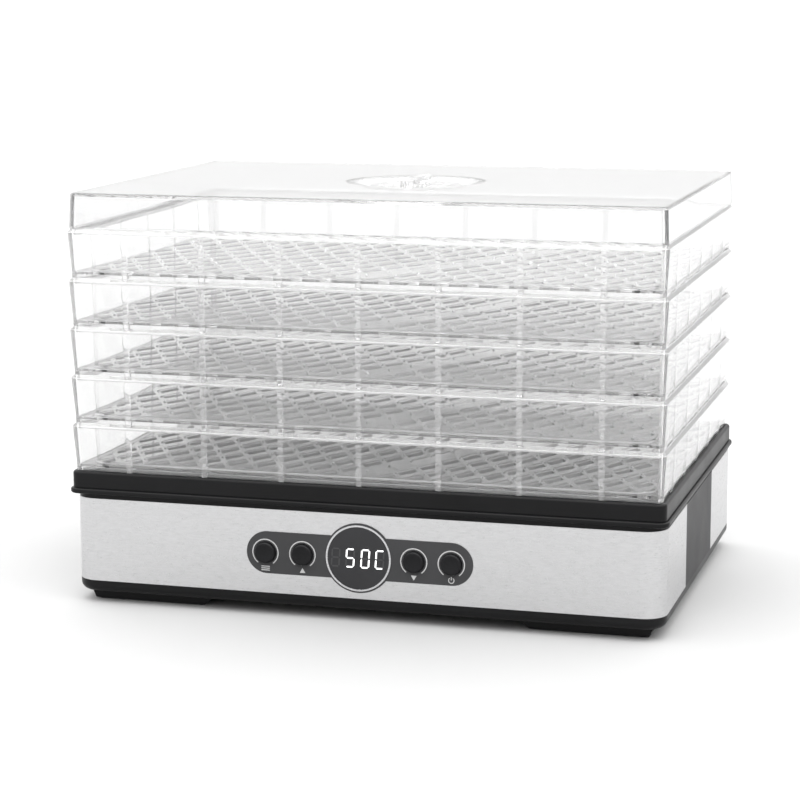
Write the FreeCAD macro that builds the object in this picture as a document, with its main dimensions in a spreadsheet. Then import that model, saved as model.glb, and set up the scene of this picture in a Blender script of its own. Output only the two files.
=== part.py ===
import FreeCAD, Part
import Sketcher
import math
import os
import re

# Five-tray food dehydrator: a black base with a brushed steel skin, a fan and a heater under a slotted deck,
# five clear nesting trays and a clear lid with a rotary vent.
# Millimetres. Origin on the table under the middle of the base, +Z up, the control panel faces -Y.

doc = FreeCAD.newDocument("food_dehydrator")

dimensions = {
    # outer envelope
    "rim_width": 441.0,
    "rim_depth": 311.0,
    "lip_overhang": 2.0,
    "skin_width": 440.0,
    "skin_depth": 310.0,
    "skin_sheet": 0.8,
    "front_corner": 17.0,
    "back_corner": 6.0,
    "rim_corner": 6.0,
    # heights above the table
    "pad_height": 1.0,
    "tub_bottom": 8.0,
    "skin_bottom": 17.0,
    "skin_top": 78.8,
    "lip_bottom": 82.2,
    "lip_top": 86.1,
    "band_bottom": 86.8,
    "support_level": 99.0,
    "deck_level": 93.0,
    # walls
    "tub_wall": 2.7,
    "deck_sheet": 3.0,
    "bottom_round": 5.5,
    "rim_round": 2.4,
    "panel_sheet": 2.0,
    "panel_half_width": 60.0,
    # rear service panel and cord gland
    "service_width": 112.0,
    "service_height": 40.0,
    "gland_x": 150.0,
    "gland_z": 34.0,
    "gland_radius": 8.0,
    "gland_bore": 3.6,
    # feet
    "foot_inner_top": 114.0,
    "foot_outer_top": 211.0,
    "foot_inner_low": 122.0,
    "foot_outer_low": 208.0,
    "foot_front": 143.0,
    "foot_run": 26.0,
    # control panel
    "panel_level": 47.0,
    "pill_length": 168.5,
    "pill_height": 31.0,
    "dial_radius": 25.5,
    "fascia_sheet": 1.4,
    "fascia_proud": 0.6,
    "ring_inner": 22.9,
    "ring_outer": 24.2,
    "lens_radius": 22.6,
    "window_width": 160.0,
    "window_height": 27.0,
    "cap_radius": 7.75,
    "cap_gap": 0.3,
    "cap_proud": 3.0,
    "cap_flange": 8.9,
    "button_travel": 1.0,
    "board_plane": 146.0,
    "board_sheet": 1.6,
    "board_length": 150.0,
    "board_height": 26.0,
    "post_x": 56.0,
    "post_z": 9.0,
    # air path
    "duct_radius": 75.0,
    "duct_wall": 2.0,
    "duct_bottom": 34.0,
    "grille_radius": 77.0,
    "grille_sheet": 2.5,
    "intake_radius": 66.0,
    "bar_level": 28.0,
    "bar_sheet": 3.0,
    "bar_width": 34.0,
    "motor_radius": 23.0,
    "motor_height": 22.0,
    "shaft_radius": 2.0,
    "shaft_clearance": 0.05,
    "hub_radius": 16.0,
    "hub_height": 14.0,
    "blade_tip": 68.0,
    "blade_sheet": 1.6,
    "blade_chord": 24.0,
    "blade_pitch": 32.0,
    "impeller_level": 56.0,
    "heater_level": 74.0,
    "heater_height": 14.0,
    "mica_sheet": 1.2,
    "coil_wire": 1.7,
    "coil_step": 15.0,
    # trays
    "tray_pitch": 35.6,
    "shoulder": 2.5,
    "skirt_depth": 4.4,
    "skirt_half_x": 216.0,
    "skirt_half_y": 151.0,
    "skirt_sheet": 1.8,
    "wall_low_x": 217.5,
    "wall_low_y": 152.5,
    "wall_tip_x": 219.6,
    "wall_tip_y": 154.6,
    "wall_edge": 2.3,
    "mouth_x": 216.5,
    "mouth_y": 151.5,
    "wall_inner_drop": 1.2,
    "tray_corner": 3.5,
    "rib_width": 3.6,
    "rib_step_x": 58.3,
    "rib_step_y": 55.0,
    "floor_sheet": 1.6,
    "grid_rise": 1.0,
    "grid_x": 209.0,
    "grid_y": 146.0,
    "grid_corner": 14.0,
    "lattice_lean": 63.0,
    "strip_step": 21.5,
    "strip_width": 4.7,
    "slot_step": 25.0,
    "slot_run": 17.0,
    # lid
    "lid_height": 25.7,
    "lid_low_x": 218.5,
    "lid_low_y": 153.5,
    "lid_top_x": 217.5,
    "lid_top_y": 152.5,
    "lid_wall": 3.2,
    "lid_sheet": 2.5,
    "vent_radius": 50.0,
    "vent_floor_radius": 36.0,
    "vent_depth": 4.5,
    "dial_gap": 0.3,
    "dial_disc": 34.5,
    "dial_sheet": 2.0,
    "grip_width": 11.0,
    "grip_length": 58.0,
    "grip_rise": 3.3,
    "rivet_radius": 3.0,
}

button_x = {"button_set": -70.0, "button_up": -42.0, "button_down": 41.0, "button_power": 68.5}
tray_count = 5
front_rib_span = 3
side_rib_span = 2
blade_count = 7
grille_slots = 36
vent_slots = 6
deck_posts = [(x, y) for x in (-98, 98) for y in (-128, 128)] + [(-195, 0), (195, 0)]
coil_rings = 3
corner_signs = [(-1, -1), (1, -1), (-1, 1), (1, 1)]
power_board_posts = [(96, 31), (174, 31), (96, 89), (174, 89)]

sheet = doc.addObject("Spreadsheet::Sheet", "dims")
for row, (alias, value) in enumerate(dimensions.items(), 1):
    sheet.set(f"A{row}", alias)
    sheet.set(f"B{row}", str(value))
    sheet.setAlias(f"B{row}", alias)
doc.recompute()

sub_parts = []


def size(alias):
    return float(getattr(sheet, alias))


def named(node, shape):
    """Keep one finished sub-part under the name of its file."""
    shape.Label = node
    sub_parts.append(shape)
    return shape


def on_sheet(text):
    """An expression with each driving dimension pointed at its cell."""
    return re.sub(r"[a-z]\w*", lambda word: f"dims.{word[0]}" if word[0] in dimensions else word[0], str(text))


def value_of(text):
    """The number that an expression gives."""
    found = sheet.evalExpression(on_sheet(text))
    return float(getattr(found, "Value", found))


def bind(item, **texts):
    for prop, text in texts.items():
        item.setExpression(prop, on_sheet(text))


def place(item, x, y, z):
    for axis, text in zip("xyz", (x, y, z)):
        item.setExpression(f"Placement.Base.{axis}", on_sheet(text))


def box(name, low, extent):
    """A block from its lowest corner; every number is an expression on the sheet."""
    item = doc.addObject("Part::Box", name)
    bind(item, Length=extent[0], Width=extent[1], Height=extent[2])
    place(item, *low)
    return item


def rod(name, start, radius, length, axis="Z"):
    """A cylinder that starts at a point and runs along +X, +Y or +Z."""
    item = doc.addObject("Part::Cylinder", name)
    bind(item, Radius=radius, Height=length)
    turns = {"X": (FreeCAD.Vector(0, 1, 0), 90), "Y": (FreeCAD.Vector(1, 0, 0), -90), "Z": (FreeCAD.Vector(0, 0, 1), 0)}
    item.Placement = FreeCAD.Placement(FreeCAD.Vector(0, 0, 0), FreeCAD.Rotation(*turns[axis]))
    place(item, *start)
    return item


def cone(name, start, low_radius, high_radius, height):
    item = doc.addObject("Part::Cone", name)
    bind(item, Radius1=low_radius, Radius2=high_radius, Height=height)
    place(item, *start)
    return item


def join(name, shapes):
    item = doc.addObject("Part::MultiFuse", name)
    item.Shapes = list(shapes)
    item.Refine = True
    return item


def group(name, shapes):
    """Several separate solids in one node."""
    item = doc.addObject("Part::Compound", name)
    item.Links = list(shapes)
    return item


def cut(name, base, tools):
    item = doc.addObject("Part::Cut", name)
    item.Base = base
    item.Tool = tools[0] if len(tools) == 1 else join(f"{name}_tools", tools)
    return item


def within(name, base, limit):
    item = doc.addObject("Part::Common", name)
    item.Base = base
    item.Tool = limit
    return item


def body(name):
    return doc.addObject("PartDesign::Body", name)


def plane_of(owner, role):
    return next(feature for feature in owner.Origin.OriginFeatures if feature.Role == role)


def outline(owner, name, level, half_x, half_y, front_radius, back_radius=None):
    """A rectangle centred on Z with round corners, in a sketch at a height; all four sizes are expressions."""
    back_radius = back_radius or front_radius
    sketch = owner.newObject("Sketcher::SketchObject", name)
    sketch.AttachmentSupport = [(plane_of(owner, "XY_Plane"), "")]
    sketch.MapMode = "FlatFace"
    sketch.setExpression("AttachmentOffset.Base.z", on_sheet(level))
    x, y, front, back = (value_of(text) for text in (half_x, half_y, front_radius, back_radius))
    flat = FreeCAD.Vector
    up = flat(0, 0, 1)
    corners = [(x - front, front - y, front, 270), (x - back, y - back, back, 0),
               (back - x, y - back, back, 90), (front - x, front - y, front, 180)]
    for cx, cy, radius, start in corners:
        circle = Part.Circle(flat(cx, cy, 0), up, radius)
        sketch.addGeometry(Part.ArcOfCircle(circle, math.radians(start), math.radians(start + 90)))
    ends = []
    for cx, cy, radius, start in corners:
        angles = (math.radians(start), math.radians(start + 90))
        ends.append([flat(cx + radius * math.cos(a), cy + radius * math.sin(a), 0) for a in angles])
    for index in range(4):
        sketch.addGeometry(Part.LineSegment(ends[index][1], ends[(index + 1) % 4][0]))
    for index in range(4):
        sketch.addConstraint(Sketcher.Constraint("Tangent", index, 2, 4 + index, 1))
        sketch.addConstraint(Sketcher.Constraint("Tangent", 4 + index, 2, (index + 1) % 4, 1))
    for line, direction in ((4, "Vertical"), (5, "Horizontal"), (6, "Vertical"), (7, "Horizontal")):
        sketch.addConstraint(Sketcher.Constraint(direction, line))
    sizes = [("Radius", (0,), front, front_radius), ("Radius", (1,), back, back_radius),
             ("Radius", (2,), back, back_radius), ("Radius", (3,), front, front_radius),
             ("DistanceX", (-1, 1, 4, 1), x, half_x), ("DistanceX", (6, 1, -1, 1), x, half_x),
             ("DistanceY", (-1, 1, 5, 1), y, half_y), ("DistanceY", (7, 1, -1, 1), y, half_y)]
    for kind, where, value, text in sizes:
        number = sketch.addConstraint(Sketcher.Constraint(kind, *where, value))
        sketch.setExpression(f"Constraints[{number}]", on_sheet(text))
    return sketch


def pad(owner, sketch, height):
    item = owner.newObject("PartDesign::Pad", f"{sketch.Name}_pad")
    item.Profile = sketch
    bind(item, Length=height)
    return item


def pocket(owner, sketch, depth):
    """Cut down from the sketch, and make sure that it takes something away."""
    doc.recompute()
    before = owner.Shape.Volume
    item = owner.newObject("PartDesign::Pocket", f"{sketch.Name}_pocket")
    item.Profile = sketch
    bind(item, Length=depth)
    doc.recompute()
    if not owner.Shape.Volume < before - 1:
        raise RuntimeError(f"{item.Name} cuts nothing")
    return item


def loft(owner, low, high, subtract=False):
    kind = "PartDesign::SubtractiveLoft" if subtract else "PartDesign::AdditiveLoft"
    item = owner.newObject(kind, f"{low.Name}_loft")
    item.Profile = low
    item.Sections = [high]
    item.Ruled = True
    return item


def soften(owner, name, radius, wanted):
    """Round the edges that a test picks out."""
    doc.recompute()
    last = owner.Tip
    edges = [f"Edge{number}" for number, edge in enumerate(owner.Shape.Edges, 1) if wanted(edge.BoundBox)]
    item = owner.newObject("PartDesign::Fillet", name)
    item.Base = (last, edges)
    bind(item, Radius=radius)
    return item


def slotted_disc(name, radius, level, thickness, slots, inner, outer, width):
    """A round grille: radial slots repeated round the middle."""
    owner = body(name)
    disc = owner.newObject("Sketcher::SketchObject", f"{name}_disc")
    slot = owner.newObject("Sketcher::SketchObject", f"{name}_slot")
    for sketch, height in ((disc, level), (slot, f"{level} + {thickness}")):
        sketch.AttachmentSupport = [(plane_of(owner, "XY_Plane"), "")]
        sketch.MapMode = "FlatFace"
        sketch.setExpression("AttachmentOffset.Base.z", on_sheet(height))
    flat = FreeCAD.Vector
    disc.addGeometry(Part.Circle(flat(0, 0, 0), flat(0, 0, 1), value_of(radius)))
    disc.addConstraint(Sketcher.Constraint("Coincident", 0, 3, -1, 1))
    number = disc.addConstraint(Sketcher.Constraint("Radius", 0, value_of(radius)))
    disc.setExpression(f"Constraints[{number}]", on_sheet(radius))
    near, far, half = value_of(inner), value_of(outer), value_of(width) / 2
    corners = [flat(near, -half, 0), flat(far, -half, 0), flat(far, half, 0), flat(near, half, 0)]
    for index in range(4):
        slot.addGeometry(Part.LineSegment(corners[index], corners[(index + 1) % 4]))
    for index in range(4):
        slot.addConstraint(Sketcher.Constraint("Coincident", index, 2, (index + 1) % 4, 1))
        slot.addConstraint(Sketcher.Constraint("Vertical" if index % 2 else "Horizontal", index))
    sizes = [("DistanceX", (-1, 1, 0, 1), near, inner), ("DistanceX", (-1, 1, 0, 2), far, outer),
             ("DistanceY", (0, 1, -1, 1), half, f"({width}) / 2"), ("DistanceY", (-1, 1, 2, 1), half, f"({width}) / 2")]
    for kind, where, value, text in sizes:
        number = slot.addConstraint(Sketcher.Constraint(kind, *where, value))
        slot.setExpression(f"Constraints[{number}]", on_sheet(text))
    pad(owner, disc, thickness)
    opening = pocket(owner, slot, thickness)
    pattern = owner.newObject("PartDesign::PolarPattern", f"{name}_pattern")
    pattern.Originals = [opening]
    pattern.Axis = (disc, ["N_Axis"])
    pattern.Angle = 360
    pattern.Occurrences = slots
    owner.Tip = pattern
    return owner


def base_tub():
    """Lower housing: a plinth with a rolled bottom edge, walls that carry the skin, and its windows."""
    tub = body("tub_shell")
    plinth = outline(tub, "plinth", "tub_bottom", "skin_width / 2", "skin_depth / 2", "front_corner", "back_corner")
    pad(tub, plinth, "skin_bottom - tub_bottom")
    wall_x = "skin_width / 2 - skin_sheet"
    wall_y = "skin_depth / 2 - skin_sheet"
    inset = "skin_sheet"
    walls = outline(tub, "walls", "skin_bottom", wall_x, wall_y, f"front_corner - {inset}", f"back_corner - {inset}")
    pad(tub, walls, "lip_bottom - skin_bottom")
    soften(tub, "rolled_edge", "bottom_round", lambda edge: edge.ZMax < size("tub_bottom") + 0.01)
    inner = outline(tub, "inner", "lip_bottom", f"{wall_x} - tub_wall", f"{wall_y} - tub_wall",
                    f"front_corner - {inset} - tub_wall", "1.5")
    pocket(tub, inner, "lip_bottom - tub_bottom - tub_wall")
    posts = [rod(f"fixing_post_{index}", (x, y, "tub_bottom + tub_wall / 2"), 5, "12 + tub_wall / 2")
             for index, (x, y) in enumerate(deck_posts)]
    legs = [rod(f"board_leg_{index}", (x, y, "tub_bottom + tub_wall / 2"), 3, "9 + tub_wall / 2")
            for index, (x, y) in enumerate(power_board_posts)]
    bar_legs = [box(f"bar_leg_{side}", (x, "-bar_width / 2", "tub_bottom + tub_wall / 2"),
                    (5, "bar_width", "bar_level - tub_bottom - tub_wall / 2"))
                for side, x in (("left", "-duct_radius - 8"), ("right", "duct_radius + 3"))]
    solid = join("tub_with_posts", [tub, *posts, *legs, *bar_legs])
    front = "-(skin_depth / 2) - 1"
    holes = [box("panel_window", ("-window_width / 2", front, "panel_level - window_height / 2"),
                 ("window_width", 8, "window_height")),
             rod("intake_hole", (0, 0, "tub_bottom - 1"), "intake_radius - 4", 5),
             rod("gland_hole", ("gland_x", f"{wall_y} - tub_wall - 1", "gland_z"), "gland_radius - 2", 8, "Y")]
    holes += [rod(f"fixing_hole_{index}", (x, y, 0), 1.5, 30) for index, (x, y) in enumerate(deck_posts)]
    holes += [rod(f"bar_hole_{index}", (f"{sign} * (duct_radius + 5.5)", 0, "bar_level - 10"), 1.2, 12)
              for index, sign in enumerate((-1, 1))]
    for side, x in (("left", "-(skin_width / 2)"), ("right", "skin_width / 2 - panel_sheet")):
        holes.append(box(f"panel_seat_{side}", (x, "-panel_half_width", "skin_bottom"),
                         ("panel_sheet", "2 * panel_half_width", "skin_top - skin_bottom")))
    holes.append(box("service_seat", ("gland_x - service_width / 2", f"skin_depth / 2 - panel_sheet",
                                      "gland_z - service_height / 2 + 6"),
                     ("service_width", "panel_sheet", "service_height")))
    named("base_tub", cut("tub_cut", solid, holes))


def skin():
    """Brushed steel in two pieces, front and back, with a black panel between them on each side."""
    sleeve = body("skin_sleeve")
    outer = outline(sleeve, "skin_outer", "skin_bottom", "skin_width / 2", "skin_depth / 2", "front_corner",
                    "back_corner")
    pad(sleeve, outer, "skin_top - skin_bottom")
    hollow = outline(sleeve, "skin_hollow", "skin_top", "skin_width / 2 - skin_sheet", "skin_depth / 2 - skin_sheet",
                     "front_corner - skin_sheet", "back_corner - skin_sheet")
    pocket(sleeve, hollow, "skin_top - skin_bottom")
    reach = "skin_depth / 2 + 1 - panel_half_width"
    for end, y in (("front", "-(skin_depth / 2) - 1"), ("rear", "panel_half_width")):
        half = within(f"{end}_half", sleeve, box(f"{end}_space", ("-(skin_width / 2) - 1", y, 0),
                                                ("skin_width + 2", reach, 100)))
        if end == "front":
            named("steel_skin_front", cut("front_skin_cut", half, [fascia_outline("fascia_window", -8, 10)]))
        else:
            window = box("service_window", ("gland_x - service_width / 2", "skin_depth / 2 - 5",
                                            "gland_z - service_height / 2 + 6"),
                         ("service_width", 10, "service_height"))
            named("steel_skin_rear", cut("rear_skin_cut", half, [window]))


def side_panels():
    for side, x in (("left", "-(skin_width / 2)"), ("right", "skin_width / 2 - panel_sheet")):
        named(f"side_panel_{side}", box(f"{side}_panel", (x, "-panel_half_width", "skin_bottom"),
                                        ("panel_sheet", "2 * panel_half_width", "skin_top - skin_bottom")))


def service_panel():
    """Rear cover with air slots and the gland that the mains lead passes through."""
    plate = box("service_plate", ("gland_x - service_width / 2", "skin_depth / 2 - panel_sheet",
                                  "gland_z - service_height / 2 + 6"),
                ("service_width", "panel_sheet + 0.4", "service_height"))
    tools = [rod("plate_gland_hole", ("gland_x", "skin_depth / 2 - 5", "gland_z"), "gland_radius - 2", 10, "Y")]
    for index in range(6):
        tools.append(box(f"air_slot_{index}", (f"gland_x - 50 + {index * 5}", "skin_depth / 2 - 5", "gland_z - 8"),
                         (2.4, 10, 26)))
    named("service_panel", cut("service_cut", plate, tools))
    sleeve = rod("gland_sleeve", ("gland_x", "skin_depth / 2 - 7", "gland_z"), "gland_radius - 2", 10.6, "Y")
    collar = rod("gland_collar", ("gland_x", "skin_depth / 2 + 0.4", "gland_z"), "gland_radius", 3.2, "Y")
    bore = rod("gland_bore_cut", ("gland_x", "skin_depth / 2 - 10", "gland_z"), "gland_bore", 20, "Y")
    shell = within("gland_length", join("gland_body", [sleeve, collar]),
                   box("gland_space", ("gland_x - 20", "skin_depth / 2 - 7", 0), (40, 10.6, 80)))
    named("cord_gland", cut("gland_cut", shell, [bore]))


def top_deck():
    """Upper housing: the overhanging lip, the rim that the trays stand on, and the deck with the air outlet."""
    deck = body("deck_shell")
    lip = outline(deck, "lip", "lip_bottom", "rim_width / 2 + lip_overhang", "rim_depth / 2 + lip_overhang",
                  "rim_corner + lip_overhang")
    pad(deck, lip, "lip_top - lip_bottom")
    soften(deck, "rolled_lip", "lip_overhang * 0.7", lambda edge: edge.ZLength < 0.01)
    joint_gap = outline(deck, "joint_gap", "lip_top", "rim_width / 2 - 0.6", "rim_depth / 2 - 0.6", "rim_corner - 0.6")
    pad(deck, joint_gap, "band_bottom - lip_top")
    band = outline(deck, "band", "band_bottom", "rim_width / 2", "rim_depth / 2", "rim_corner")
    pad(deck, band, "support_level - band_bottom")
    soften(deck, "rounded_rim", "rim_round", lambda edge: edge.ZMin > size("support_level") - 0.01)
    well = outline(deck, "well", "support_level", "mouth_x", "mouth_y", "tray_corner")
    pocket(deck, well, "support_level - deck_level")
    under = outline(deck, "under", "deck_level - deck_sheet", "mouth_x", "mouth_y", "tray_corner")
    pocket(deck, under, "deck_level - deck_sheet - lip_bottom")
    posts = [rod(f"deck_post_{index}", (x, y, "tub_bottom + tub_wall + 12"), 5,
                 "deck_level - deck_sheet / 2 - tub_bottom - tub_wall - 12")
             for index, (x, y) in enumerate(deck_posts)]
    holes = [rod("outlet_hole", (0, 0, "deck_level - deck_sheet - 1"), "grille_radius - 6", 10)]
    holes += [rod(f"post_hole_{index}", (x, y, "tub_bottom + tub_wall"), 1.5, 22)
              for index, (x, y) in enumerate(deck_posts)]
    named("top_deck", cut("deck_cut", join("deck_with_posts", [deck, *posts]), holes))


def grilles():
    named("outlet_grille", slotted_disc("outlet_disc", "grille_radius", "deck_level", "grille_sheet", grille_slots,
                                        "grille_radius * 0.3", "grille_radius * 0.9", "3.4"))
    named("intake_grille", slotted_disc("intake_disc", "intake_radius", "tub_bottom + tub_wall", "2", grille_slots,
                                        "intake_radius * 0.3", "intake_radius * 0.88", "3.0"))


def feet():
    """Four long feet with sloping ends, each on its own rubber strip."""
    pads = []
    for end, direction in (("front", -1), ("rear", 1)):
        near = "-foot_front" if direction < 0 else "foot_front - foot_run"
        for side, sign in (("left", -1), ("right", 1)):
            block = doc.addObject("Part::Wedge", f"{end}_{side}_foot")
            low, high = ("inner", "outer") if sign > 0 else ("outer", "inner")
            bind(block, Xmin=f"{sign} * foot_{low}_low", Xmax=f"{sign} * foot_{high}_low",
                 X2min=f"{sign} * foot_{low}_top", X2max=f"{sign} * foot_{high}_top",
                 Ymin="pad_height", Ymax="tub_bottom", Zmin=0, Zmax="foot_run", Z2min=0, Z2max="foot_run")
            block.Placement = FreeCAD.Placement(FreeCAD.Vector(0, 0, 0), FreeCAD.Rotation(FreeCAD.Vector(1, 0, 0), 90))
            place(block, 0, f"({near}) + foot_run", 0)
            named(f"foot_{end}_{side}", block)
            middle = f"{sign} * (foot_inner_low + foot_outer_low) / 2"
            strip = "foot_outer_low - foot_inner_low - 6"
            pads.append(box(f"{end}_{side}_pad", (f"{middle} - ({strip}) / 2", f"({near}) + 3", 0),
                            (strip, "foot_run - 6", "pad_height")))
    named("foot_pads", group("pads", pads))


def fascia_outline(name, start, thickness, grow=0):
    """The panel's shape: a long pill with a round dial in the middle, pushed along +Y."""
    begin = f"-(skin_depth / 2) + ({start})"
    ends = [rod(f"{name}_end_{side}", (f"{sign} * (pill_length - pill_height) / 2", begin, "panel_level"),
                f"pill_height / 2 + {grow}", thickness, "Y") for side, sign in (("left", -1), ("right", 1))]
    bar = box(f"{name}_bar", ("-(pill_length - pill_height) / 2", begin, f"panel_level - pill_height / 2 - {grow}"),
              ("pill_length - pill_height", thickness, f"pill_height + 2 * {grow}"))
    dial = rod(f"{name}_dial", (0, begin, "panel_level"), f"dial_radius + {grow}", thickness, "Y")
    return join(name, [*ends, bar, dial])


def control_panel():
    plate = fascia_outline("fascia_plate", "-fascia_proud", "fascia_sheet")
    posts = [rod(f"fascia_post_{index}", (f"{sx} * post_x", "-(skin_depth / 2) + skin_sheet - 0.2",
                                          f"panel_level + {sz} * post_z"),
                 2.4, "skin_depth / 2 - skin_sheet + 0.2 - board_plane", "Y")
             for index, (sx, sz) in enumerate(corner_signs)]
    holes = [rod(f"{node}_hole", (x, "-(skin_depth / 2) - 3", "panel_level"), "cap_radius + cap_gap", 10, "Y")
             for node, x in button_x.items()]
    holes.append(box("display_hole", (-20, "-(skin_depth / 2) - 3", "panel_level - 10"), (40, 10, 20)))
    holes += [rod(f"board_screw_hole_{index}", (f"{sx} * post_x", "-board_plane - 5", f"panel_level + {sz} * post_z"),
                  1.0, 10, "Y") for index, (sx, sz) in enumerate(corner_signs)]
    named("control_fascia", cut("fascia_cut", join("fascia_with_posts", [plate, *posts]), holes))
    front = "-(skin_depth / 2) - fascia_proud"
    named("display_lens", rod("lens", (0, f"{front} - 0.5", "panel_level"), "lens_radius", 0.5, "Y"))
    ring = cut("ring_cut", rod("ring_disc", (0, f"{front} - 0.6", "panel_level"), "ring_outer", 0.6, "Y"),
               [rod("ring_hole", (0, f"{front} - 1", "panel_level"), "ring_inner", 2, "Y")])
    named("display_ring", ring)
    named("display_module", box("module", (-19, "-board_plane - 6", "panel_level - 9.5"), (38, 6, 19)))
    board = box("board", ("-board_length / 2", "-board_plane", "panel_level - board_height / 2"),
                ("board_length", "board_sheet", "board_height"))
    clear = [rod(f"board_hole_{index}", (f"{sx} * post_x", "-board_plane - 2", f"panel_level + {sz} * post_z"),
                 1.0, 8, "Y") for index, (sx, sz) in enumerate(corner_signs)]
    named("control_board", cut("board_cut", board, clear))
    screws = []
    for index, (sx, sz) in enumerate(corner_signs):
        spot = (f"{sx} * post_x", f"panel_level + {sz} * post_z")
        head = rod(f"board_head_{index}", (spot[0], "-board_plane + board_sheet", spot[1]), 2.2, 1.6, "Y")
        shank = rod(f"board_shank_{index}", (spot[0], "-board_plane - 4", spot[1]), 1.0, "5 + board_sheet", "Y")
        screws.append(join(f"board_screw_{index}", [head, shank]))
    named("board_screws", group("board_screw_set", screws))


def buttons():
    """Four caps that slide in the fascia, each on a sprung switch on the board."""
    front = "-(skin_depth / 2) - fascia_proud - cap_proud"
    behind = "-(skin_depth / 2) - fascia_proud + fascia_sheet + 0.3"
    switches = []
    for node, x in button_x.items():
        cap = rod(f"{node}_cap", (x, front, "panel_level"), "cap_radius", "cap_proud + fascia_sheet + 1", "Y")
        dish = doc.addObject("Part::Sphere", f"{node}_dish")
        bind(dish, Radius=40)
        place(dish, x, f"({front}) - 39.4", "panel_level")
        flange = rod(f"{node}_flange", (x, behind, "panel_level"), "cap_flange", 1.2, "Y")
        stem = rod(f"{node}_stem", (x, f"({behind}) + 1", "panel_level"), 1.8,
                   "skin_depth / 2 + fascia_proud - fascia_sheet - 1.3 - board_plane - 3 - button_travel", "Y")
        named(node, cut(f"{node}_cut", join(f"{node}_body", [cap, flange, stem]), [dish]))
        case = box(f"{node}_switch_case", (f"{x} - 3", "-board_plane - 2.2", "panel_level - 3"), (6, 2.2, 6))
        plunger = rod(f"{node}_plunger", (x, "-board_plane - 2.8", "panel_level"), 1.6, 0.8, "Y")
        switches.append(join(f"{node}_switch", [case, plunger]))
    named("button_switches", group("switches", switches))


def base_screws():
    screws = []
    for index, (x, y) in enumerate(deck_posts):
        head = rod(f"base_head_{index}", (x, y, "tub_bottom - 2"), 3.5, 2)
        shank = rod(f"base_shank_{index}", (x, y, "tub_bottom - 1"), 1.5, 25)
        screws.append(join(f"base_screw_{index}", [head, shank]))
    named("base_screws", group("base_screw_set", screws))


def fan():
    """A shaded-pole motor on a bar across the intake, with the impeller above it inside the duct."""
    tube = rod("duct_tube", (0, 0, "duct_bottom"), "duct_radius", "deck_level - deck_sheet - duct_bottom")
    bore = rod("duct_bore", (0, 0, "duct_bottom - 1"), "duct_radius - duct_wall", 80)
    named("fan_duct", cut("duct_cut", tube, [bore]))
    reach = "duct_radius + 8"
    bar = box("bar", (f"-({reach})", "-bar_width / 2", "bar_level"), (f"2 * ({reach})", "bar_width", "bar_sheet"))
    spots = [(f"{sign} * (duct_radius + 5.5)", 1.2) for sign in (-1, 1)] + [(-12, 1.2), (12, 1.2)]
    bar_holes = [rod(f"bar_screw_hole_{index}", (x, 0, "bar_level - 1"), radius, "bar_sheet + 2")
                 for index, (x, radius) in enumerate(spots)]
    named("fan_bracket", cut("bar_cut", bar, bar_holes))
    seat = "bar_level + bar_sheet"
    can = rod("motor_can", (0, 0, seat), "motor_radius", "motor_height")
    motor_holes = [rod("motor_bore", (0, 0, f"{seat} + 6"), "shaft_radius + shaft_clearance", 40)]
    motor_holes += [rod(f"motor_screw_hole_{x}", (x, 0, "bar_level"), 1.2, "bar_sheet + 6") for x in (-12, 12)]
    named("fan_motor", cut("motor_cut", can, motor_holes))
    named("motor_shaft", rod("shaft", (0, 0, f"{seat} + 7"), "shaft_radius",
                             f"impeller_level + hub_height - ({seat}) - 8"))
    screws = []
    for index, sign in enumerate((-1, 1)):
        x = f"{sign} * (duct_radius + 5.5)"
        screws.append(join(f"leg_screw_{index}", [rod(f"leg_head_{index}", (x, 0, seat), 2.4, 2),
                                                  rod(f"leg_shank_{index}", (x, 0, f"{seat} - 10"), 1.2, 11)]))
        x = 12 * sign
        screws.append(join(f"can_screw_{index}", [rod(f"can_head_{index}", (x, 0, "bar_level - 2"), 2.4, 2),
                                                  rod(f"can_shank_{index}", (x, 0, "bar_level - 1"), 1.2, 9)]))
    named("fan_screws", group("fan_screw_set", screws))
    hub = rod("hub", (0, 0, "impeller_level"), "hub_radius", "hub_height")
    blades = []
    for index in range(blade_count):
        blade = doc.addObject("Part::Box", f"blade_{index}")
        bind(blade, Length="blade_tip", Width="blade_chord", Height="blade_sheet")
        middle = FreeCAD.Placement(FreeCAD.Vector(0, -size("blade_chord") / 2, -size("blade_sheet") / 2),
                                   FreeCAD.Rotation())
        pitch = FreeCAD.Placement(FreeCAD.Vector(0, 0, 0),
                                  FreeCAD.Rotation(FreeCAD.Vector(1, 0, 0), size("blade_pitch")))
        lift = FreeCAD.Vector(0, 0, size("impeller_level") + size("hub_height") / 2)
        turn = FreeCAD.Placement(lift, FreeCAD.Rotation(FreeCAD.Vector(0, 0, 1), 360.0 * index / blade_count))
        blade.Placement = turn.multiply(pitch).multiply(middle)
        blades.append(blade)
    swept = rod("blade_sweep", (0, 0, "impeller_level"), "blade_tip", "hub_height")
    trimmed = within("blades_trimmed", join("blade_set", blades), swept)
    named("fan_impeller", cut("impeller_cut", join("impeller_body", [hub, trimmed]),
                              [rod("hub_bore", (0, 0, "impeller_level - 1"), "shaft_radius", "hub_height")]))


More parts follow.
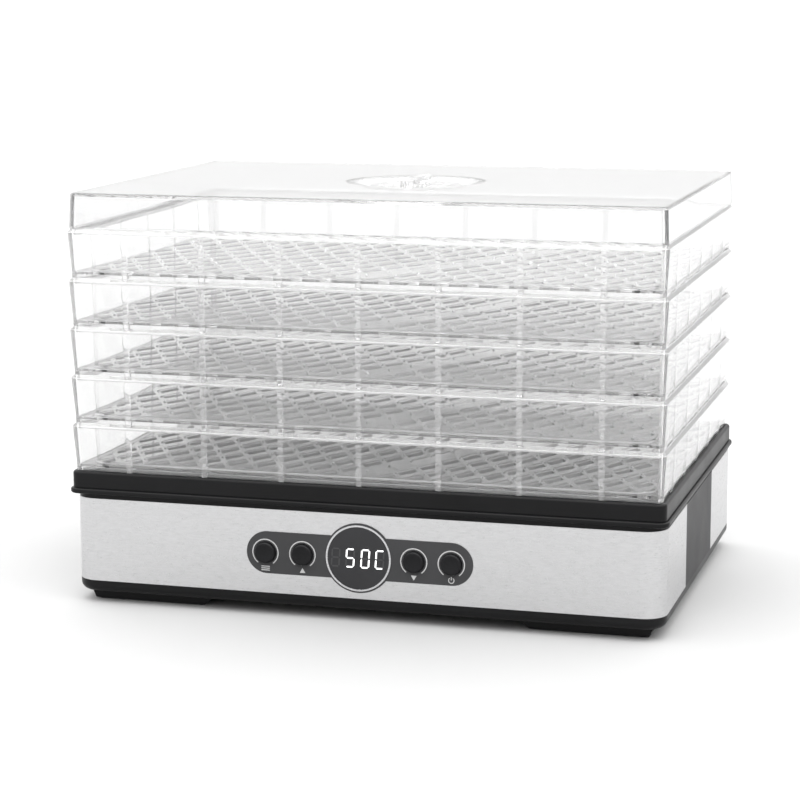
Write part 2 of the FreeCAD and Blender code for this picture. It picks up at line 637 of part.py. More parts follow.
def heater():
    """Heating wire on a cross of mica sheet above the fan, with a thermal cut-out beside it."""
    span = "2 * duct_radius"
    along = box("mica_along", ("-duct_radius", "-mica_sheet / 2", "heater_level"), (span, "mica_sheet", "heater_height"))
    across = box("mica_across", ("-mica_sheet / 2", "-duct_radius", "heater_level"),
                 ("mica_sheet", span, "heater_height"))
    room = rod("duct_room", (0, 0, "heater_level"), "duct_radius - duct_wall", "heater_height")
    rings, notches = [], []
    for index in range(coil_rings):
        for name, wire, keep in (("coil", "coil_wire", rings), ("notch", "coil_wire + 0.2", notches)):
            ring = doc.addObject("Part::Torus", f"{name}_{index}")
            bind(ring, Radius1=f"{index} * coil_step + 24", Radius2=wire)
            place(ring, 0, 0, "heater_level + heater_height / 2")
            keep.append(ring)
    cross = within("mica_cross", join("mica_sheets", [along, across]), room)
    named("heater_frame", cut("mica_cut", cross, notches))
    named("heater_coils", group("coil_set", rings))
    named("thermal_cutout", box("cutout", (40, "mica_sheet / 2", "heater_level"), (10, 5, 4)))
    named("temperature_sensor", rod("sensor", (0, -92, "deck_level - deck_sheet - 12"), 2.5, 12))


def power_supply():
    level = "tub_bottom + tub_wall + 9"
    named("power_board", box("supply_board", (90, 25, level), (90, 70, "board_sheet")))
    blocks = {"relay": (100, 38, 20, 16, 15), "capacitor": (130, 38, 18, 9, 14), "terminals": (140, 76, 30, 10, 12),
              "transformer": (98, 66, 26, 22, 19), "fuse": (156, 42, 6, 20, 7)}
    top = f"{level} + board_sheet"
    named("power_components", group("supply_parts", [box(name, (x, y, top), (length, width, height))
                                                     for name, (x, y, length, width, height) in blocks.items()]))


def tray_level(index):
    """The height of the rim that tray number index stands on, counted from 0."""
    return f"(support_level + {index} * tray_pitch)"


def four_sides(name, walls):
    """Parts a ring of walls into its front, back, left and right, so that each side collides as it is."""
    seat = "(skirt_half_y - skirt_sheet)"
    spaces = {
        "front": (("-rim_width", "-rim_depth", 0), ("2 * rim_width", f"rim_depth - {seat}", 400)),
        "back": (("-rim_width", seat, 0), ("2 * rim_width", f"rim_depth - {seat}", 400)),
        "left": (("-rim_width", f"-{seat}", 0), ("rim_width", f"2 * {seat}", 400)),
        "right": ((0, f"-{seat}", 0), ("rim_width", f"2 * {seat}", 400)),
    }
    return [within(f"{name}_{side}_side", walls, box(f"{name}_{side}_space", low, extent))
            for side, (low, extent) in spaces.items()]


def tray_walls(index):
    """One tray's side walls: a skirt that nests in the rim below, a flared wall with a chamfered top, and ribs."""
    level = tray_level(index)
    walls = body(f"tray_shell_{index}")
    name = f"tray{index}"
    skirt = outline(walls, f"{name}_skirt", f"{level} - skirt_depth", "skirt_half_x", "skirt_half_y",
                    "tray_corner - 1.5")
    pad(walls, skirt, "skirt_depth + shoulder + 0.5")
    tip = f"{level} + tray_pitch - wall_edge"
    loft(walls, outline(walls, f"{name}_low", f"{level} + shoulder", "wall_low_x", "wall_low_y", "tray_corner"),
         outline(walls, f"{name}_tip", tip, "wall_tip_x", "wall_tip_y", "tray_corner"))
    loft(walls, outline(walls, f"{name}_chamfer", tip, "wall_tip_x", "wall_tip_y", "tray_corner"),
         outline(walls, f"{name}_land", f"{level} + tray_pitch", "wall_tip_x - wall_edge", "wall_tip_y - wall_edge",
                 "tray_corner"))
    floor_top = f"{level} + shoulder + floor_sheet"
    loft(walls, outline(walls, f"{name}_inner", floor_top, "mouth_x - wall_inner_drop", "mouth_y - wall_inner_drop",
                        "tray_corner - 1"),
         outline(walls, f"{name}_mouth", f"{level} + tray_pitch", "mouth_x", "mouth_y", "tray_corner - 1"), True)
    seat = outline(walls, f"{name}_seat", floor_top, "skirt_half_x - skirt_sheet", "skirt_half_y - skirt_sheet",
                   "tray_corner - 2.5")
    pocket(walls, seat, "shoulder + floor_sheet + skirt_depth")
    ribs = []
    low = ("mouth_x + 0.2", "mouth_y + 0.2")
    proud = "wall_tip_x - 0.4 - mouth_x - 0.2"
    height = "tray_pitch - wall_edge - 0.6"
    for step in range(-front_rib_span, front_rib_span + 1):
        for end, y in (("front", f"-({low[1]}) - ({proud})"), ("back", low[1])):
            ribs.append(box(f"{name}_{end}_rib_{step + front_rib_span}",
                            (f"{step} * rib_step_x - rib_width / 2", y, level), ("rib_width", proud, height)))
    for step in range(-side_rib_span, side_rib_span + 1):
        for side, x in (("left", f"-({low[0]}) - ({proud})"), ("right", low[0])):
            ribs.append(box(f"{name}_{side}_rib_{step + side_rib_span}",
                            (x, f"{step} * rib_step_y - rib_width / 2", level), (proud, "rib_width", height)))
    ribbed = join(f"{name}_ribbed", [walls, *ribs])
    named(f"tray_{index + 1}_walls", group(f"{name}_sides", four_sides(name, ribbed)))


def lattice_slots():
    """The prisms that open a tray's floor: leaning slots in ladders between long diagonal strips."""
    lean = math.radians(size("lattice_lean"))
    step, run, strip = size("slot_step"), size("slot_run"), size("strip_width")
    along = FreeCAD.Vector(math.cos(lean), -math.sin(lean), 0)
    rung = FreeCAD.Vector(math.cos(lean), math.sin(lean), 0)
    gap = size("strip_step") - strip
    rung_length = gap / (2 * math.cos(lean))
    inner_x, inner_y = size("grid_x") - 2.5, size("grid_y") - 2.5
    room = Part.makePlane(2 * inner_x, 2 * inner_y, FreeCAD.Vector(-inner_x, -inner_y, 0))
    height = size("floor_sheet") + size("grid_rise") + 2
    whole = rung_length * run * math.sin(2 * lean)
    rows = math.ceil(inner_y / (step * math.sin(lean))) + 1
    ladders = math.ceil(inner_x / size("strip_step")) + rows
    slots = []
    for row in range(-rows, rows + 1):
        for ladder in range(-ladders, ladders + 1):
            start = FreeCAD.Vector(ladder * size("strip_step") + strip / 2, 0, 0) + along * (row * step)
            corners = [start, start + rung * rung_length, start + rung * rung_length + along * run,
                       start + along * run]
            face = Part.Face(Part.makePolygon([*corners, start])).common(room)
            clear = all(abs(point.x) < inner_x and abs(point.y) < inner_y for point in corners)
            if clear or (face.Faces and face.Area > whole / 3):
                slots.append(face.Faces[0].extrude(FreeCAD.Vector(0, 0, height)))
    tool = doc.addObject("Part::Feature", "lattice_tool")
    tool.Shape = Part.makeCompound(slots)
    return tool


def tray_floor(index, slots):
    """One tray's slotted floor, which fills the seat inside the walls."""
    level = tray_level(index)
    name = f"floor{index}"
    plate = body(f"tray_plate_{index}")
    pad(plate, outline(plate, f"{name}_plate", f"{level} + shoulder", "skirt_half_x - skirt_sheet",
                       "skirt_half_y - skirt_sheet", "tray_corner - 2.5"), "floor_sheet")
    pad(plate, outline(plate, f"{name}_grid", f"{level} + shoulder + floor_sheet", "grid_x", "grid_y",
                       "grid_corner"), "grid_rise")
    tool = doc.addObject("Part::Feature", f"{name}_slots")
    tool.Shape = slots.Shape
    place(tool, 0, 0, f"{level} + shoulder - 1")
    named(f"tray_{index + 1}_floor", cut(f"{name}_cut", plate, [tool]))


def vent_holes(name, start, height):
    """Round air holes spaced evenly about the middle of the vent."""
    holes = []
    for index in range(vent_slots):
        turn = math.radians(360.0 * index / vent_slots + 30)
        holes.append(rod(f"{name}_{index}", (f"{math.cos(turn):.6f} * vent_floor_radius * 0.62",
                                             f"{math.sin(turn):.6f} * vent_floor_radius * 0.62", start), 6, height))
    return holes


def lid():
    level = tray_level(tray_count)
    top = f"{level} + lid_height"
    shell = body("lid_shell")
    skirt = outline(shell, "lid_skirt", f"{level} - skirt_depth", "skirt_half_x", "skirt_half_y", "tray_corner - 1.5")
    pad(shell, skirt, "skirt_depth + 1")
    loft(shell, outline(shell, "lid_low", level, "lid_low_x", "lid_low_y", "tray_corner"),
         outline(shell, "lid_high", top, "lid_top_x", "lid_top_y", "tray_corner"))
    soften(shell, "lid_soft_edge", "lid_wall * 0.35", lambda edge: edge.ZMin > value_of(top) - 0.01)
    loft(shell, outline(shell, "lid_inner_low", level, "lid_low_x - lid_wall", "lid_low_y - lid_wall",
                        "tray_corner - 1"),
         outline(shell, "lid_inner_high", f"{top} - lid_sheet", "lid_top_x - lid_wall", "lid_top_y - lid_wall",
                 "tray_corner - 1"), True)
    seat = outline(shell, "lid_seat", f"{level} + 1", "skirt_half_x - skirt_sheet", "skirt_half_y - skirt_sheet",
                   "tray_corner - 2.5")
    pocket(shell, seat, "skirt_depth + 1")
    seat_cone = ("vent_floor_radius + 2", "vent_radius + 2", "vent_depth + 2")
    open_top = cut("lid_open", shell, [cone("vent_opening", (0, 0, f"{top} - vent_depth - 2"), *seat_cone)])
    plate_low = f"{top} - lid_sheet"
    plate = within("lid_plate", open_top, box("plate_space", ("-rim_width", "-rim_depth", plate_low),
                                              ("2 * rim_width", "2 * rim_depth", 20)))
    ring = within("lid_ring", open_top, box("ring_space", ("-rim_width", "-rim_depth", 0),
                                            ("2 * rim_width", "2 * rim_depth", plate_low)))
    named("lid", group("lid_parts", [plate, *four_sides("lid", ring)]))
    cup = cone("vent_cup", (0, 0, f"{top} - vent_depth - 2"), *seat_cone)
    tools = [cone("vent_dish", (0, 0, f"{top} - vent_depth"), "vent_floor_radius", "vent_radius", "vent_depth"),
             rod("rivet_hole", (0, 0, f"{top} - 20"), "rivet_radius + 0.08", 40)]
    tools += vent_holes("vent_hole", f"{top} - vent_depth - 5", 6)
    named("vent_seat", cut("vent_seat_cut", cup, tools))
    disc_level = f"{top} - vent_depth + dial_gap"
    disc = rod("dial_disc_body", (0, 0, disc_level), "dial_disc", "dial_sheet")
    grip_height = "vent_depth - dial_gap + grip_rise"
    bar = box("grip_bar", ("-grip_width / 2", "-(grip_length - grip_width) / 2", disc_level),
              ("grip_width", "grip_length - grip_width", grip_height))
    ends = [rod(f"grip_end_{sign}", (0, f"{sign} * (grip_length - grip_width) / 2", disc_level), "grip_width / 2",
                grip_height) for sign in (-1, 1)]
    dial_tools = vent_holes("dial_hole", f"{disc_level} - 1", "dial_sheet + 1")
    bar_cover = join("grip", [bar, *ends])
    disc_open = cut("dial_open", disc, dial_tools)
    dial = join("dial_with_grip", [disc_open, bar_cover])
    named("vent_dial", cut("dial_cut", dial, [rod("dial_bore", (0, 0, f"{top} - 20"), "rivet_radius", "19")]))
    head = rod("rivet_head", (0, 0, f"{top} - vent_depth - 4"), "rivet_radius + 3", 1.7)
    shank = rod("rivet_shank", (0, 0, f"{top} - vent_depth - 3"), "rivet_radius", "vent_depth + 2")
    named("vent_rivet", join("rivet", [head, shank]))


base_tub()
skin()
side_panels()
service_panel()
top_deck()
grilles()
feet()
base_screws()
control_panel()
buttons()
fan()
heater()
power_supply()
slot_tool = lattice_slots()
for tray_index in range(tray_count):
    tray_walls(tray_index)
    tray_floor(tray_index, slot_tool)
lid()
doc.recompute()

failed = [item.Name for item in doc.Objects if {"Invalid", "Error"} & set(item.State)]
if failed:
    raise RuntimeError(f"these did not build: {failed}")
for item in sub_parts:
    if item.Shape.isNull() or not item.Shape.isValid() or not item.Shape.Solids:
        raise RuntimeError(f"{item.Label} has no valid solid")

os.makedirs("parts", exist_ok=True)
for item in sub_parts:
    item.Shape.exportStep(f"parts/{item.Label}.step")
    print(f"{item.Label}: {len(item.Shape.Solids)} solid(s), {item.Shape.Volume / 1000:.1f} cm3")
print(f"{len(sub_parts)} nodes")
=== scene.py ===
import bpy
import bmesh
import math
import numpy as np
from mathutils import Matrix, Vector


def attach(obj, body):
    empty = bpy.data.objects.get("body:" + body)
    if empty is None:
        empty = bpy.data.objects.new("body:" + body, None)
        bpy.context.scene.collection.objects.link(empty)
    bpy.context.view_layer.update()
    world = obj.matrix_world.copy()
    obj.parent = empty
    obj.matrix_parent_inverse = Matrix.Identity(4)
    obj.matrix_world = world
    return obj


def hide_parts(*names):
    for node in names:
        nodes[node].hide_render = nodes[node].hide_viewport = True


# Five-tray food dehydrator: clear stacked trays and lid over a black base with a brushed steel skin.
# Shapes are worked out in millimetres and written to the meshes in metres.

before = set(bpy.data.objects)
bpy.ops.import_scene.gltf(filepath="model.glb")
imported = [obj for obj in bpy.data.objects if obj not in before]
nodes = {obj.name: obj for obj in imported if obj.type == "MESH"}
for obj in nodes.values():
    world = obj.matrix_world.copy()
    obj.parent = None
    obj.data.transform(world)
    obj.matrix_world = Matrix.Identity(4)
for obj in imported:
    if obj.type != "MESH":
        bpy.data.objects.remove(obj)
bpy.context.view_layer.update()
mm = 0.001
sharpAngle = math.radians(32)
boxShadeAngle = math.radians(50)
print("frame loaded:", len(nodes), "nodes")


def smoothed(mesh):
    # smooth faces, apart from the sharp edges
    mesh.polygons.foreach_set("use_smooth", [True] * len(mesh.polygons))
    mesh.set_sharp_from_angle(angle=sharpAngle)


def meshFrom(name, points, faces, zones=None):
    # puts millimetre points and faces into a new object at the origin; a zone is the face's material slot
    mesh = bpy.data.meshes.new(name)
    mesh.from_pydata((np.asarray(points, float) * mm).tolist(), [], [tuple(f) for f in faces])
    if zones is not None:
        for _ in range(int(max(zones)) + 1):
            mesh.materials.append(None)
        mesh.polygons.foreach_set("material_index", np.asarray(zones, int))
    smoothed(mesh)
    mesh.update()
    piece = bpy.data.objects.new(name, mesh)
    bpy.context.scene.collection.objects.link(piece)
    return piece


def gridFaces(rows, columns, closeRows, closeColumns, start=0):
    # quads of a rows x columns grid of points, joined end to end where asked
    rowCount = rows if closeRows else rows - 1
    columnCount = columns if closeColumns else columns - 1
    r, c = np.meshgrid(np.arange(rowCount), np.arange(columnCount), indexing="ij")
    nextR = (r + 1) % rows
    nextC = (c + 1) % columns
    quads = np.stack([r * columns + c, r * columns + nextC, nextR * columns + nextC, nextR * columns + c], -1)
    return quads.reshape(-1, 4) + start


def turned(profile, steps, centre, axis="Z"):
    # a profile of (radius, height) carried round an axis: point = centre + radius * (cos, sin) + height
    radius, height = np.asarray(profile, float).T
    angle = np.arange(steps) * 2 * math.pi / steps
    across = radius[:, None] * np.cos(angle)
    along = radius[:, None] * np.sin(angle)
    up = np.broadcast_to(height[:, None], across.shape)
    parts = (across, along, up) if axis == "Z" else (across, -up, along)
    points = np.stack(parts, -1) + np.asarray(centre, float)
    return points.reshape(-1, 3), gridFaces(len(radius), steps, True, True)


def several(pieces):
    # one list of points and faces from several
    points, faces, start = [], [], 0
    for somePoints, someFaces in pieces:
        points.append(np.asarray(somePoints, float))
        faces += [tuple(int(i) + start for i in f) for f in someFaces]
        start += len(somePoints)
    return np.concatenate(points), faces


def evenShade(piece):
    # the large flat faces set the shading, and the small edge rounds blend between them
    piece.data.set_sharp_from_angle(angle=boxShadeAngle)
    even = piece.modifiers.new("evenShade", "WEIGHTED_NORMAL")
    even.weight = 100
    even.keep_sharp = True


def finishMesh(piece):
    # applies the modifiers and marks the sharp edges
    bpy.context.view_layer.update()
    mesh = bpy.data.meshes.new_from_object(piece.evaluated_get(bpy.context.evaluated_depsgraph_get()))
    piece.modifiers.clear()
    piece.data = mesh
    smoothed(mesh)


def newGroup(name, inputs, outputs):
    group = bpy.data.node_groups.new(name, "ShaderNodeTree")
    for label, kind, value in inputs:
        socket = group.interface.new_socket(label, in_out="INPUT", socket_type=kind)
        if value is not None:
            socket.default_value = value
    for label, kind in outputs:
        group.interface.new_socket(label, in_out="OUTPUT", socket_type=kind)
    return group, group.nodes.new("NodeGroupInput"), group.nodes.new("NodeGroupOutput")


def mathNode(tree, operation, first, second):
    node = tree.nodes.new("ShaderNodeMath")
    node.operation = operation
    for socket, value in zip(node.inputs, (first, second)):
        if isinstance(value, (int, float)):
            socket.default_value = value
        else:
            tree.links.new(value, socket)
    return node.outputs[0]


def noiseNode(tree, where, scale, detail, roughness=0.5):
    node = tree.nodes.new("ShaderNodeTexNoise")
    node.inputs["Detail"].default_value = detail
    node.inputs["Roughness"].default_value = roughness
    tree.links.new(where, node.inputs["Vector"])
    if isinstance(scale, (int, float)):
        node.inputs["Scale"].default_value = scale
    else:
        tree.links.new(scale, node.inputs["Scale"])
    return node.outputs["Fac"]


def stretched(tree, where, scale):
    # the coordinates, scaled by a different amount each way
    node = tree.nodes.new("ShaderNodeMapping")
    tree.links.new(where, node.inputs["Vector"])
    node.inputs["Scale"].default_value = scale
    return node.outputs["Vector"]


def makeMouldedGrain():
    # spark-eroded mould texture: two sizes of fine noise, with slow patches in its shine
    group, into, out = newGroup(
        "mouldedGrain", [("Vector", "NodeSocketVector", None), ("Size", "NodeSocketFloat", 900.0)],
        [("Height", "NodeSocketFloat"), ("Shine", "NodeSocketFloat")])
    fine = noiseNode(group, into.outputs["Vector"], into.outputs["Size"], 3.0)
    coarse = noiseNode(group, into.outputs["Vector"], mathNode(group, "MULTIPLY", into.outputs["Size"], 0.37), 2.0)
    height = mathNode(group, "ADD", mathNode(group, "MULTIPLY", fine, 0.6), mathNode(group, "MULTIPLY", coarse, 0.4))
    slow = noiseNode(group, into.outputs["Vector"], 14.0, 4.0, 0.6)
    group.links.new(height, out.inputs["Height"])
    group.links.new(slow, out.inputs["Shine"])
    return group


def makeBrushMarks():
    # long fine scratches along X and Y, which vary quickly along Z, over broader streaks
    group, into, out = newGroup("brushMarks", [("Vector", "NodeSocketVector", None)],
                                [("Height", "NodeSocketFloat"), ("Shade", "NodeSocketFloat")])
    fine = noiseNode(group, stretched(group, into.outputs["Vector"], (320, 320, 5200)), 1.0, 3.0, 0.65)
    broad = noiseNode(group, stretched(group, into.outputs["Vector"], (170, 170, 900)), 1.0, 4.0, 0.7)
    height = mathNode(group, "ADD", mathNode(group, "MULTIPLY", fine, 0.65), mathNode(group, "MULTIPLY", broad, 0.35))
    group.links.new(height, out.inputs["Height"])
    group.links.new(broad, out.inputs["Shade"])
    return group


def makeFlowMarks():
    # slow waves that cooling leaves in a clear moulding, and the fine haze of handling
    group, into, out = newGroup("flowMarks", [("Vector", "NodeSocketVector", None)],
                                [("Height", "NodeSocketFloat"), ("Haze", "NodeSocketFloat")])
    slow = noiseNode(group, stretched(group, into.outputs["Vector"], (9, 9, 26)), 1.0, 2.0, 0.5)
    ripple = noiseNode(group, into.outputs["Vector"], 70.0, 2.0, 0.5)
    height = mathNode(group, "ADD", mathNode(group, "MULTIPLY", slow, 0.85), mathNode(group, "MULTIPLY", ripple, 0.15))
    haze = noiseNode(group, into.outputs["Vector"], 35.0, 5.0, 0.65)
    group.links.new(height, out.inputs["Height"])
    group.links.new(haze, out.inputs["Haze"])
    return group


mouldedGrain = makeMouldedGrain()
brushMarks = makeBrushMarks()
flowMarks = makeFlowMarks()


def newMaterial(name, group, settings):
    # a Principled material with one effect group that reads Object coordinates
    material = bpy.data.materials.new(name)
    material.use_nodes = True
    tree = material.node_tree
    shader = tree.nodes["Principled BSDF"]
    for socket, value in settings.items():
        shader.inputs[socket].default_value = value
    effect = tree.nodes.new("ShaderNodeGroup")
    effect.node_tree = group
    where = tree.nodes.new("ShaderNodeTexCoord")
    tree.links.new(where.outputs["Object"], effect.inputs["Vector"])
    return material, tree, shader, effect


def spread(tree, value, low, high, shaderSocket, fromLow=0.3, fromHigh=0.7):
    # maps a mask to a range of numbers on a socket
    node = tree.nodes.new("ShaderNodeMapRange")
    tree.links.new(value, node.inputs["Value"])
    node.inputs["From Min"].default_value = fromLow
    node.inputs["From Max"].default_value = fromHigh
    node.inputs["To Min"].default_value = low
    node.inputs["To Max"].default_value = high
    tree.links.new(node.outputs["Result"], shaderSocket)


def blended(tree, mask, first, second, shaderSocket):
    # mixes two colours by a mask
    ramp = tree.nodes.new("ShaderNodeValToRGB")
    for element, position, colour in zip(ramp.color_ramp.elements, (0.3, 0.7), (first, second)):
        element.position = position
        element.color = (*colour, 1)
    tree.links.new(mask, ramp.inputs["Fac"])
    tree.links.new(ramp.outputs["Color"], shaderSocket)


def bumped(tree, height, shader, strength, distance):
    node = tree.nodes.new("ShaderNodeBump")
    node.inputs["Strength"].default_value = strength
    node.inputs["Distance"].default_value = distance
    tree.links.new(height, node.inputs["Height"])
    tree.links.new(node.outputs["Normal"], shader.inputs["Normal"])


def plastic(name, dark, light, roughness, size, depth, specular=0.5, coat=0.0):
    # moulded plastic: grained, and a little uneven in shine
    material, tree, shader, effect = newMaterial(
        name, mouldedGrain, {"Specular IOR Level": specular, "Coat Weight": coat})
    effect.inputs["Size"].default_value = size
    blended(tree, effect.outputs["Shine"], dark, light, shader.inputs["Base Color"])
    spread(tree, effect.outputs["Shine"], roughness - 0.05, roughness + 0.06, shader.inputs["Roughness"])
    bumped(tree, effect.outputs["Height"], shader, 0.35, depth * mm)
    return material


def metal(name, dark, light, roughness, depth, grained=False):
    # bare metal: brushed along its length, or only grained by rolling
    group = mouldedGrain if grained else brushMarks
    material, tree, shader, effect = newMaterial(name, group, {"Metallic": 1.0})
    shade = effect.outputs["Shine"] if grained else effect.outputs["Shade"]
    blended(tree, shade, dark, light, shader.inputs["Base Color"])
    spread(tree, effect.outputs["Height"], roughness - 0.06, roughness + 0.08, shader.inputs["Roughness"])
    bumped(tree, effect.outputs["Height"], shader, 0.5, depth * mm)
    return material


def clearPlastic(name, index, through, roughness, wave, tint=0.98, polish=None):
    # clear moulding: colourless, with slow waves and a trace of haze; what it doesn't let through it scatters
    material, tree, shader, effect = newMaterial(
        name, flowMarks, {"Transmission Weight": through, "IOR": index, "Specular IOR Level": 0.5})
    if polish:
        shader.inputs["Coat Weight"].default_value = 1.0
        shader.inputs["Coat IOR"].default_value = polish
        shader.inputs["Coat Roughness"].default_value = 0.1
    blended(tree, effect.outputs["Haze"], [tint] * 3, [tint - 0.02] * 3, shader.inputs["Base Color"])
    spread(tree, effect.outputs["Haze"], roughness * 0.3, roughness, shader.inputs["Roughness"], 0.45, 0.75)
    bumped(tree, effect.outputs["Height"], shader, 0.25, wave * mm)
    return material


finish = {
    "satinBlack": plastic("satinBlack", (0.005, 0.005, 0.0052), (0.008, 0.008, 0.0085), 0.34, 1500, 0.012, 0.13),
    "panelBlack": plastic("panelBlack", (0.01, 0.01, 0.011), (0.017, 0.017, 0.018), 0.46, 1100, 0.03, 0.25),
    "rubberBlack": plastic("rubberBlack", (0.012, 0.012, 0.012), (0.022, 0.022, 0.022), 0.78, 800, 0.03, 0.3),
    "fasciaGrey": plastic("fasciaGrey", (0.038, 0.038, 0.039), (0.045, 0.045, 0.047), 0.4, 2200, 0.006, 0.14),
    "lensBlack": plastic("lensBlack", (0.02, 0.02, 0.0215), (0.025, 0.025, 0.027), 0.16, 2600, 0.002, 0.26),
    "capBlack": plastic("capBlack", (0.005, 0.005, 0.0055), (0.008, 0.008, 0.009), 0.3, 2000, 0.004, 0.17),
    "moduleBlack": plastic("moduleBlack", (0.015, 0.015, 0.016), (0.03, 0.03, 0.032), 0.5, 1200, 0.02),
    "fanNylon": plastic("fanNylon", (0.03, 0.03, 0.031), (0.05, 0.05, 0.052), 0.52, 900, 0.03),
    "boardGreen": plastic("boardGreen", (0.01, 0.07, 0.03), (0.02, 0.12, 0.05), 0.38, 600, 0.02, 0.5, 0.2),
    "micaSheet": plastic("micaSheet", (0.34, 0.29, 0.2), (0.5, 0.44, 0.32), 0.42, 260, 0.05),
    "unlitDigit": plastic("unlitDigit", (0.036, 0.036, 0.038), (0.04, 0.04, 0.042), 0.22, 2600, 0.002, 0.3),
    "whitePrint": plastic("whitePrint", (0.38, 0.38, 0.38), (0.46, 0.46, 0.46), 0.5, 2500, 0.002, 0.3),
    "brushedSteel": metal("brushedSteel", (0.55, 0.55, 0.555), (0.62, 0.62, 0.625), 0.3, 0.006),
    "ringMetal": metal("ringMetal", (0.52, 0.52, 0.53), (0.62, 0.62, 0.63), 0.24, 0.004),
    "zincPlate": metal("zincPlate", (0.5, 0.5, 0.52), (0.66, 0.66, 0.68), 0.36, 0.01, True),
    "motorCan": metal("motorCan", (0.3, 0.3, 0.31), (0.42, 0.42, 0.43), 0.4, 0.02, True),
    "ductSheet": metal("ductSheet", (0.55, 0.56, 0.57), (0.7, 0.7, 0.71), 0.38, 0.02, True),
    "coilWire": metal("coilWire", (0.26, 0.22, 0.2), (0.4, 0.36, 0.34), 0.45, 0.03, True),
    "clearTray": clearPlastic("clearTray", 1.3, 0.96, 0.02, 0.01, 0.95),
    "clearLid": clearPlastic("clearLid", 1.4, 0.98, 0.02, 0.01, 0.92),
    "clearFloor": clearPlastic("clearFloor", 1.4, 0.65, 0.1, 0.01, 0.97),
    "floorTop": clearPlastic("floorTop", 1.5, 0.72, 0.2, 0.01, 0.97, 2.2),
    # the rib finish lets less through and scatters more white: a painted glow for the light that ribs, rims and joints
    # catch
    "clearRibPaintedGlow": clearPlastic("clearRibPaintedGlow", 1.37, 0.84, 0.06, 0.01, 0.93),
    # the edge finish scatters a still larger white share: painted highlights on the narrow rounds, the frame's edge
    # and the studs
    "paintedHighlightEdge": clearPlastic("paintedHighlightEdge", 1.45, 0.6, 0.2, 0.01),
}

glow, glowTree, glowShader, glowEffect = newMaterial(
    "litDigit", mouldedGrain, {"Roughness": 0.3, "Emission Strength": 1.0, "Base Color": (0.8, 0.8, 0.8, 1)})
glowEffect.inputs["Size"].default_value = 3000
blended(glowTree, glowEffect.outputs["Shine"], (0.94, 0.95, 0.96), (1, 1, 1), glowShader.inputs["Emission Color"])
finish["litDigit"] = glow

nodeFinish = {
    "base_tub": "satinBlack", "top_deck": "satinBlack", "outlet_grille": "satinBlack", "intake_grille": "satinBlack",
    "foot_front_left": "satinBlack", "foot_front_right": "satinBlack", "foot_rear_left": "satinBlack",
    "foot_rear_right": "satinBlack", "foot_pads": "rubberBlack", "cord_gland": "rubberBlack",
    "side_panel_left": "panelBlack", "side_panel_right": "panelBlack", "service_panel": "panelBlack",
    "steel_skin_front": "brushedSteel", "steel_skin_rear": "brushedSteel", "base_screws": "zincPlate",
    "control_fascia": "fasciaGrey", "display_lens": "lensBlack", "display_ring": "ringMetal",
    "display_module": "moduleBlack", "control_board": "boardGreen", "board_screws": "zincPlate",
    "button_switches": "moduleBlack", "fan_duct": "ductSheet", "fan_bracket": "ductSheet", "fan_motor": "motorCan",
    "motor_shaft": "zincPlate", "fan_screws": "zincPlate", "fan_impeller": "fanNylon", "heater_frame": "micaSheet",
    "heater_coils": "coilWire", "thermal_cutout": "moduleBlack", "temperature_sensor": "ductSheet",
    "power_board": "boardGreen", "power_components": "moduleBlack", "vent_rivet": "clearLid",
}


def paint(piece, *names):
    # one finish over the whole piece, or one for each of its zones
    if not piece.data.materials:
        piece.data.materials.append(None)
    for number, slot in enumerate(piece.material_slots):
        slot.link = "OBJECT"
        slot.material = finish[names[min(number, len(names) - 1)]]


for nodeName, finishName in nodeFinish.items():
    paint(nodes[nodeName], finishName)
print("finishes made:", len(finish))


stack = {
    "rimLevel": 99.0,       # where the first tray stands
    "pitch": 35.6,
    "trays": 5,
    "sideDifference": 65.0,  # half width less half depth, the same on every outline
    "ribWidth": 3.6,
    "ribRound": 0.35,
    "hook": 1.5,            # how far the ribs reach below a tray's own edge
    "firstHook": -0.05,     # on the first tray, which stands on the base
    "ribsAcross": [58.3 * k for k in range(-3, 4)],
    "ribsDeep": [55.0 * k for k in range(-2, 3)],
    "cornerSteps": 9,
    "half": 216.0,
    "cornerLength": 6.0,
    "stationsBetween": 2,   # between one rib and the next
    "ribHeights": {"front": 1.0, "back": 0.3, "ends": 0.12},  # as a share of the full rib
}


def walkRound():
    # stations round the outline, anticlockwise from the front right corner, and where the ribs and corners are
    half, ribs, heights = stack["half"], stack["ribsAcross"], stack["ribHeights"]
    acrossEnd = half - stack["cornerLength"]
    deepEnd = acrossEnd - stack["sideDifference"]
    reach, soft, between = stack["ribWidth"] / 2, stack["ribRound"], stack["stationsBetween"]
    rows = []

    def side(ribs, extent, height):
        places = []
        for rib in ribs:
            places += [(rib - reach - soft, 0.0), (rib - reach, height), (rib + reach, height),
                       (rib + reach + soft, 0.0)]
        edges = [-extent, *ribs, extent]
        for low, high in zip(edges, edges[1:]):
            places += [(low + (high - low) * (n + 1) / (between + 1), 0.0) for n in range(between)]
        return sorted(places)

    def corner(startAngle, signX, signY):
        for angle in np.radians(startAngle + np.linspace(0, 90, stack["cornerSteps"])):
            rows.append((0, signX, math.cos(angle), 0, signY, math.sin(angle), 0.0, 1.0))

    corner(-90, 1, -1)
    rows += [(0, 1, 1, at, 0, 0, rib, 0.0) for at, rib in side(stack["ribsDeep"], deepEnd, heights["ends"])]
    corner(0, 1, 1)
    rows += [(-at, 0, 0, 0, 1, 1, rib, 0.0) for at, rib in side(ribs, acrossEnd, heights["back"])]
    corner(90, -1, 1)
    rows += [(0, -1, -1, -at, 0, 0, rib, 0.0) for at, rib in side(stack["ribsDeep"], deepEnd, heights["ends"])]
    corner(180, -1, -1)
    rows += [(at, 0, 0, 0, -1, -1, rib, 0.0) for at, rib in side(ribs, acrossEnd, heights["front"])]
    return np.array(rows, float)


